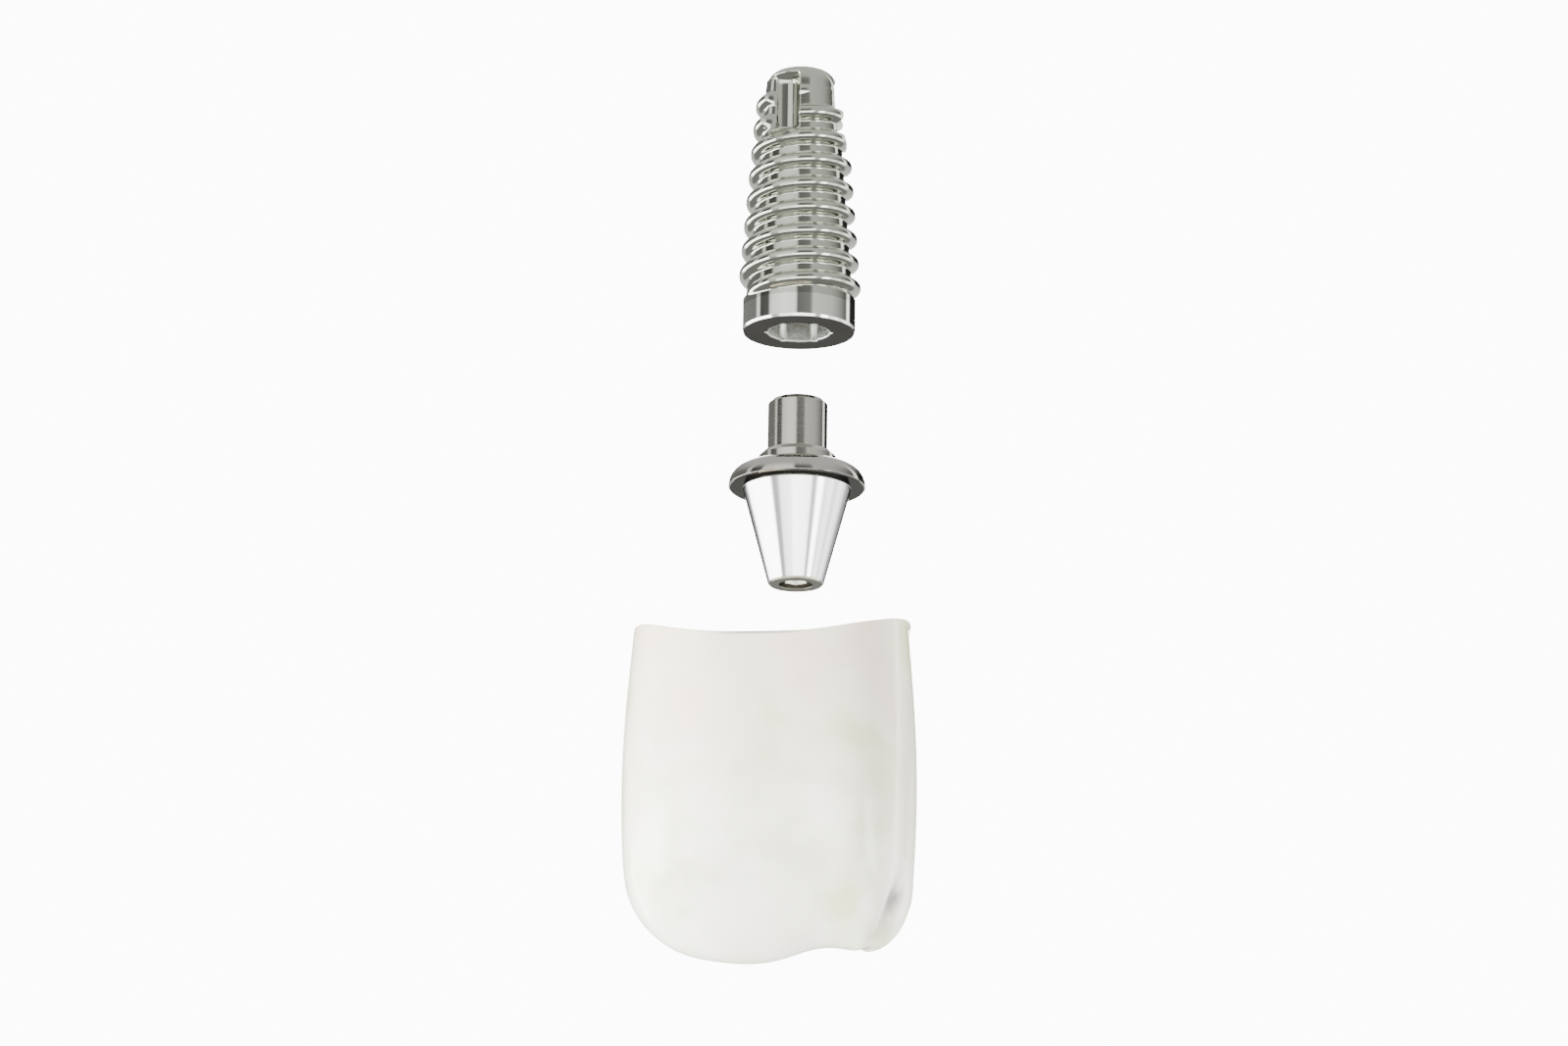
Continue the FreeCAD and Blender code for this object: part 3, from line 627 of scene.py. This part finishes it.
# The grooves pressed into the finished form, with the stain in the fissures and the painted shade along the
# cheek side's corner groove
def grooved(spot):
    x, y = (spot.x - CROWN_SHIFT) / WIDEST[0], spot.y / WIDEST[1]
    pressed, stain_and_shade = Vector(spot), 0.0
    if spot.z < -8.5:
        near = min(from_line(Vector((x, y)), line)[0] for line in FISSURES) * WIDEST[1]
        depth = math.exp(-(near / 0.16) ** 2) * min(1.0, (-8.5 - spot.z) / 1.0)
        pressed.z += 0.20 * depth
        stain_and_shade = 0.8 * depth
    if spot.y < 0 and spot.x > 1.5:
        near, side = from_line(Vector((spot.x, spot.z)), CORNER_GROOVE)
        fade = min(1.0, max(0.0, (-7.6 - spot.z) / 1.2)) * min(1.0, max(0.35, (11.0 + spot.z) / 1.0))
        depth = 0.24 * fade * math.exp(-(near / 0.18) ** 2)
        ridge = 0.10 * fade * math.exp(-((near - 0.42) / 0.20) ** 2) if side > 0 else 0
        pressed.x -= 0.75 * (depth - ridge)
        pressed.y += 0.65 * (depth - ridge)
        # Painted shade: a dark patch and line painted along the corner groove, on the cheek side only
        painted_shade_patch = 0.15 + 0.75 * math.exp(-((spot.z + 9.1) / 0.65) ** 2)
        faces_cheek = min(1.0, max(0.0, -spot.y - 1.3))
        stain_and_shade = max(stain_and_shade, fade * painted_shade_patch * faces_cheek * math.exp(-(near / 0.20) ** 2))
    return pressed, stain_and_shade


controls = [crown_column(2 * math.pi * i / COLUMNS) for i in range(COLUMNS)]
rows = len(controls[0])
columns, stains_and_shade = [], []
for j in range(AROUND):
    spot = COLUMNS * j / AROUND
    i, f = int(spot), spot - int(spot)
    near = [controls[(i + k - 1) % COLUMNS] for k in range(4)]
    guide = [blend([c[row] for c in near], f) for row in range(rows)]
    # The wall from the margin down: the first sample below the margin's line starts the column
    fine = [on_spline(guide, k / 240) + Vector((CROWN_SHIFT, 0, 0)) for k in range(241)]
    start = next(k for k, p in enumerate(fine) if p.z < margin_level(p.x) - LIP_HEIGHT)
    above, below = fine[start - 1], fine[start]
    gap_a = above.z - margin_level(above.x) + LIP_HEIGHT
    gap_b = below.z - margin_level(below.x) + LIP_HEIGHT
    rim = above.lerp(below, gap_a / (gap_a - gap_b))
    wall = [rim] + fine[start + (1 if (fine[start] - rim).length < 0.02 else 0):]
    walked = [0]
    for a, b in zip(wall, wall[1:]):
        walked.append(walked[-1] + (b - a).length)
    column, at = [], 0
    for k in range(WALL_STEPS + 1):
        want = walked[-1] * k / WALL_STEPS
        while at < len(wall) - 2 and walked[at + 1] < want:
            at += 1
        share = (want - walked[at]) / max(walked[at + 1] - walked[at], 1e-9)
        column.append(wall[at].lerp(wall[at + 1], share))
    pressed = [grooved(spot) for spot in column]
    column = [spot for spot, stain_and_shade in pressed]
    # The top: a small rounded lip, a ledge in to the dish, the seat and the tapered socket
    bearing = 2 * math.pi * j / AROUND
    ray = Vector((math.cos(bearing), math.sin(bearing), 0))
    dish_rim = ray * DISH_RADIUS
    inward = (dish_rim - Vector((rim.x, rim.y, 0))).normalized()
    top = []
    for turn in (30, 60, 90):
        a = math.radians(turn)
        spot = rim + inward * LIP_WIDTH * (1 - math.cos(a))
        top.append(Vector((spot.x, spot.y, rim.z + LIP_HEIGHT * math.sin(a))))
    ledge_start = Vector((top[-1].x, top[-1].y, 0))
    for k in range(1, 9):
        spot = ledge_start.lerp(dish_rim, k / 8)
        top.append(Vector((spot.x, spot.y, margin_level(spot.x))))
    edge = min(top[-1].z, DISH_DEPTH)
    for k in (1, 2):
        inner = dish_rim * (1 - 0.004 * k)
        top.append(Vector((inner.x, inner.y, top[-1].z + (edge - top[-1].z) * k / 2)))
    for k in range(1, 9):
        out = DISH_RADIUS - 0.03 - (DISH_RADIUS - 0.03 - SEAT_RADIUS) * k / 8
        spot = ray * out
        slope = DISH_DEPTH * (out - SEAT_RADIUS) / (DISH_RADIUS - SEAT_RADIUS)
        top.append(Vector((spot.x, spot.y, min(slope, margin_level(spot.x)))))
    for out, level in SOCKET_SIDE:
        top.append(ray * out + Vector((0, 0, level)))
    # Painted shade: a thin grey line painted at the middle of the cheek side's lip, standing for the shaded
    # inside beyond the rim
    painted_lip_shade = 0.9 * math.exp(-((rim.x + 1.3) / 1.5) ** 4) if rim.y < 0 else 0.0
    stains_and_shade.append([0.0] * (len(top) - 3) + [painted_lip_shade] * 3 + [painted_lip_shade * 0.8] + [stain_and_shade for spot, stain_and_shade in pressed][1:-1])
    columns.append(top[::-1] + column)

mesh = bmesh.new()
grid = [
    [mesh.verts.new((p.x * MM, p.y * MM, (p.z + SEAT) * MM)) for p in column[:-1]] for column in columns
]
floor_point = mesh.verts.new((0, 0, (SEAT + SOCKET_SIDE[-1][1]) * MM))
middle = columns[0][-1]
biting_point = mesh.verts.new((middle.x * MM, middle.y * MM, (middle.z + SEAT) * MM))
for j in range(AROUND):
    here, there = grid[j], grid[(j + 1) % AROUND]
    mesh.faces.new((floor_point, here[0], there[0]))
    for k in range(len(here) - 1):
        mesh.faces.new((here[k], here[k + 1], there[k + 1], there[k]))
    mesh.faces.new((here[-1], biting_point, there[-1]))
bmesh.ops.recalc_face_normals(mesh, faces=mesh.faces[:])
for face in mesh.faces:
    face.smooth = True
made = bpy.data.meshes.new("crown_porcelain")
mesh.to_mesh(made)
mesh.free()
stain_and_shade_layer = made.attributes.new("stain_and_shade", "FLOAT", "POINT")
for k, stain_and_shade in enumerate(value for column in stains_and_shade for value in column):
    stain_and_shade_layer.data[k].value = stain_and_shade
crown = bpy.data.objects.new("crown_porcelain", made)
bpy.context.scene.collection.objects.link(crown)

# Glazed dental porcelain, fired in layers: warm off-white with faint pink and yellow-green stain under
# a clear glossy glaze, a little darker at the neck, with soft growth lines across it
porcelain = bpy.data.materials.new("glazed_porcelain")
porcelain.use_nodes = True
tree = porcelain.node_tree
shader = tree.nodes["Principled BSDF"]
place = add(tree, "ShaderNodeTexCoord").outputs["Object"]
level = add(tree, "ShaderNodeSeparateXYZ", {0: place}).outputs[2]
low = add(tree, "ShaderNodeMapRange", {0: level, 1: -0.0125, 2: -0.0225, 3: 0.0, 4: 1.0})
body = add(tree, "ShaderNodeMix", {0: low, 6: paint("#DAD5C4"), 7: paint("#F0EEE4")}, data_type="RGBA")
patches = add(tree, "ShaderNodeTexNoise", {"Vector": place, "Scale": 330.0, "Detail": 2.0})
pinkness = add(tree, "ShaderNodeMapRange", {0: level, 1: -0.0140, 2: -0.0190, 3: 0.5, 4: 0.15})
pink_spots = add(tree, "ShaderNodeMapRange", {0: patches, 1: 0.46, 2: 0.66, 3: 0.0, 4: 1.0})
pink_at = add(tree, "ShaderNodeMath", {0: pinkness, 1: pink_spots}, operation="MULTIPLY")
green_at = add(tree, "ShaderNodeMapRange", {0: patches, 1: 0.50, 2: 0.30, 3: 0.0, 4: 0.8})
pinked = add(tree, "ShaderNodeMix", {0: pink_at, 6: body.outputs[2], 7: paint("#D9B3A6")}, data_type="RGBA")
greened = add(tree, "ShaderNodeMix", {0: green_at, 6: pinked.outputs[2], 7: paint("#C3C597")},
              data_type="RGBA")
# Growth lines 0.1 mm apart on a real tooth, drawn 0.45 mm apart so that they show
squashed = add(tree, "ShaderNodeMapping", {"Vector": place, "Scale": (160, 160, 2200)})
growth = add(tree, "ShaderNodeTexNoise", {"Vector": squashed, "Scale": 1.0, "Detail": 3.0})
dimples = add(tree, "ShaderNodeTexNoise", {"Vector": place, "Scale": 700.0, "Detail": 2.0})
relief = add(tree, "ShaderNodeMath", {0: growth, 1: dimples}, operation="ADD")
glaze = add(tree, "ShaderNodeMapRange", {0: dimples, 3: 0.10, 4: 0.24})
bump = add(tree, "ShaderNodeBump", {"Height": relief, "Strength": 0.10, "Distance": 0.00006})
drawn = add(tree, "ShaderNodeMapping", {"Vector": place, "Scale": (460, 460, 50)})
layers = add(tree, "ShaderNodeTexNoise", {"Vector": drawn, "Scale": 1.0, "Detail": 1.0})
layer_at = add(tree, "ShaderNodeMapRange", {0: layers, 1: 0.35, 2: 0.65, 3: 0.0, 4: 0.5})
layered = add(tree, "ShaderNodeMix", {0: layer_at, 6: greened.outputs[2], 7: paint("#D2D2BC")},
              data_type="RGBA")
# Darkened towards dark grey: real stain in the fissures, and painted shade in the corner groove and along the
# cheek side's lip
stain_and_shade = add(tree, "ShaderNodeAttribute", attribute_name="stain_and_shade").outputs["Fac"]
shaded = add(tree, "ShaderNodeMix", {0: stain_and_shade, 6: layered.outputs[2], 7: paint("#4E4D49")}, data_type="RGBA")
tree.links.new(shaded.outputs[2], shader.inputs["Base Color"])
tree.links.new(glaze.outputs[0], shader.inputs["Roughness"])
tree.links.new(bump.outputs[0], shader.inputs["Normal"])
shader.inputs["IOR"].default_value = 1.52
shader.inputs["Coat Weight"].default_value = 0.5
shader.inputs["Coat Roughness"].default_value = 0.12
shader.inputs["Subsurface Weight"].default_value = 0.12
shader.inputs["Subsurface Radius"].default_value = (1.0, 0.8, 0.6)
shader.inputs["Subsurface Scale"].default_value = 0.0008
crown.data.materials.append(porcelain)
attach(crown, "crown_body")
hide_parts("crown")

# STUDIO
# A pale matt floor far below the pieces, a bright surround with grey and dark strips for the metal
# to mirror, and four soft lights. The camera looks up from below, as in the photograph.
FLOOR = -0.275
FLOOR_RADIUS = 12.0
floor_mesh = bmesh.new()
bmesh.ops.create_circle(floor_mesh, cap_ends=True, segments=96, radius=FLOOR_RADIUS)
for point in floor_mesh.verts:
    point.co.z = FLOOR
made = bpy.data.meshes.new("floor")
floor_mesh.to_mesh(made)
floor_mesh.free()
floor = bpy.data.objects.new("floor", made)
bpy.context.scene.collection.objects.link(floor)
plaster = bpy.data.materials.new("pale_plaster")
plaster.use_nodes = True
tree = plaster.node_tree
place = add(tree, "ShaderNodeTexCoord").outputs["Object"]
cloud = add(tree, "ShaderNodeTexNoise", {"Vector": place, "Scale": 12.0})
tint = add(tree, "ShaderNodeMix", {0: cloud, 6: paint("#DCDCDA"), 7: paint("#D8D8D6")}, data_type="RGBA")
tree.links.new(tint.outputs[2], tree.nodes["Principled BSDF"].inputs["Base Color"])
tree.nodes["Principled BSDF"].inputs["Roughness"].default_value = 0.9
floor.data.materials.append(plaster)
floor.visible_glossy = False

world = bpy.data.worlds.new("studio")
bpy.context.scene.world = world
world.use_nodes = True
tree = world.node_tree
sky = tree.nodes["Background"]
ray = add(tree, "ShaderNodeSeparateXYZ", {0: add(tree, "ShaderNodeTexCoord").outputs["Generated"]}).outputs
front = add(tree, "ShaderNodeMath", {0: ray[1], 1: -1.0}, operation="MULTIPLY")
turn = add(tree, "ShaderNodeMath", {0: ray[0], 1: front}, operation="ARCTAN2")
share = add(tree, "ShaderNodeMath", {0: turn, 1: 0.5 / math.pi, 2: 0.5}, operation="MULTIPLY_ADD")
strips = add(tree, "ShaderNodeValToRGB", {0: share})
# Degrees round from the camera's side, positive to its right, and the brightness there
STRIPS = (
    (-180, 12), (-172, 12), (-171, 0.10), (-150, 0.30), (-100, 0.30), (-94, 1.8), (-90, 1.8), (-86, 0.12),
    (-66, 0.16), (-60, 1.7), (-30, 2.2), (-8, 2.0), (-3, 0.24), (23, 0.34), (30, 1.15), (70, 0.95),
    (112, 0.16), (117, 3.4), (124, 3.4), (128, 0.03), (171, 0.04), (172, 12), (180, 12),
)
# The same near and below the horizon, which the cone mirrors: white panels with grey gaps between them
LOW_STRIPS = (
    (-180, 1.3), (-150, 1.2), (-136, 1.1), (-130, 12), (-60, 12), (-56, 1.1), (-43, 1.3), (-39, 4.2),
    (-14, 4.8), (-10, 7.0), (31, 6.5), (35, 1.3), (44, 1.4), (48, 12), (58, 11), (63, 3.0), (82, 4.2),
    (92, 2.4), (108, 4.4), (124, 3.0), (130, 1.1), (150, 1.2), (180, 1.3),
)
BRIGHTEST = 12.0
OVERHEAD_GREY = 1.1
STEEP_GREY = 0.40
low_strips = add(tree, "ShaderNodeValToRGB", {0: share})
fill_round(strips.color_ramp, STRIPS, BRIGHTEST)
fill_round(low_strips.color_ramp, LOW_STRIPS, BRIGHTEST)
# Heights in the surround, as the upward share of the way there: the strips end between 0.40 and 0.80
over = add(tree, "ShaderNodeMapRange", {0: ray[2], 1: 0.40, 2: 0.80, 3: 1.0, 4: 0.0},
           interpolation_type="SMOOTHSTEP")
from_low = add(tree, "ShaderNodeMapRange", {0: ray[2], 1: 0.12, 2: 0.17, 3: 0.0, 4: 1.0},
               interpolation_type="SMOOTHSTEP")
above = add(tree, "ShaderNodeMix", {0: over, 6: (OVERHEAD_GREY / BRIGHTEST,) * 3 + (1,), 7: strips.outputs[0]},
            data_type="RGBA")
# Straight below, the surround is plain grey
steep = add(tree, "ShaderNodeMapRange", {0: ray[2], 1: -0.38, 2: -0.32, 3: 0.0, 4: 1.0},
            interpolation_type="SMOOTHSTEP")
lower = add(tree, "ShaderNodeMix", {0: steep, 6: (STEEP_GREY / BRIGHTEST,) * 3 + (1,),
                                    7: low_strips.outputs[0]}, data_type="RGBA")
surround = add(tree, "ShaderNodeMix", {0: from_low, 6: lower.outputs[2], 7: above.outputs[2]},
               data_type="RGBA")
tree.links.new(surround.outputs[2], sky.inputs["Color"])
sky.inputs["Strength"].default_value = BRIGHTEST

# Name, then place in metres, width in metres and power in watts
LIGHTS = {
    "key": ((-0.37, -0.17, -0.07), 0.24, 11.0),
    "fill": ((0.24, -0.34, -0.04), 0.30, 0.9),
    "back": ((0.36, 0.26, 0.02), 0.30, 8.0),
}
for name, (spot, width, power) in LIGHTS.items():
    lamp = bpy.data.lights.new(name, "AREA")
    lamp.shape = "SQUARE"
    lamp.size = width
    lamp.energy = power
    holder = bpy.data.objects.new(name, lamp)
    holder.location = spot
    holder.rotation_euler = (Vector((0, 0, -0.008)) - Vector(spot)).to_track_quat("-Z", "Y").to_euler()
    holder.visible_glossy = False
    holder.visible_camera = False
    bpy.context.scene.collection.objects.link(holder)

# The broad overhead light that keeps the floor pale all over
lamp = bpy.data.lights.new("overhead", "SUN")
lamp.energy = 4.0
lamp.angle = math.radians(50)
holder = bpy.data.objects.new("overhead", lamp)
holder.rotation_euler = Vector((0.25, 0.45, -0.86)).to_track_quat("-Z", "Y").to_euler()
holder.visible_glossy = False
bpy.context.scene.collection.objects.link(holder)

camera = bpy.data.objects.new("camera", bpy.data.cameras.new("camera"))
camera.data.sensor_width = 36
camera.data.lens = 166
camera.data.clip_start = 0.01
camera.data.clip_end = 20
seen_from = Vector((-0.3, -250.9, -79.2)) * MM
look = Vector((-0.45, 0, -7.2)) * MM - seen_from
camera.location = seen_from
facing = look.to_track_quat("-Z", "Y").to_matrix() @ Matrix.Rotation(math.radians(0.73), 3, "Z")
camera.rotation_euler = facing.to_euler()
bpy.context.scene.collection.objects.link(camera)
bpy.context.scene.camera = camera
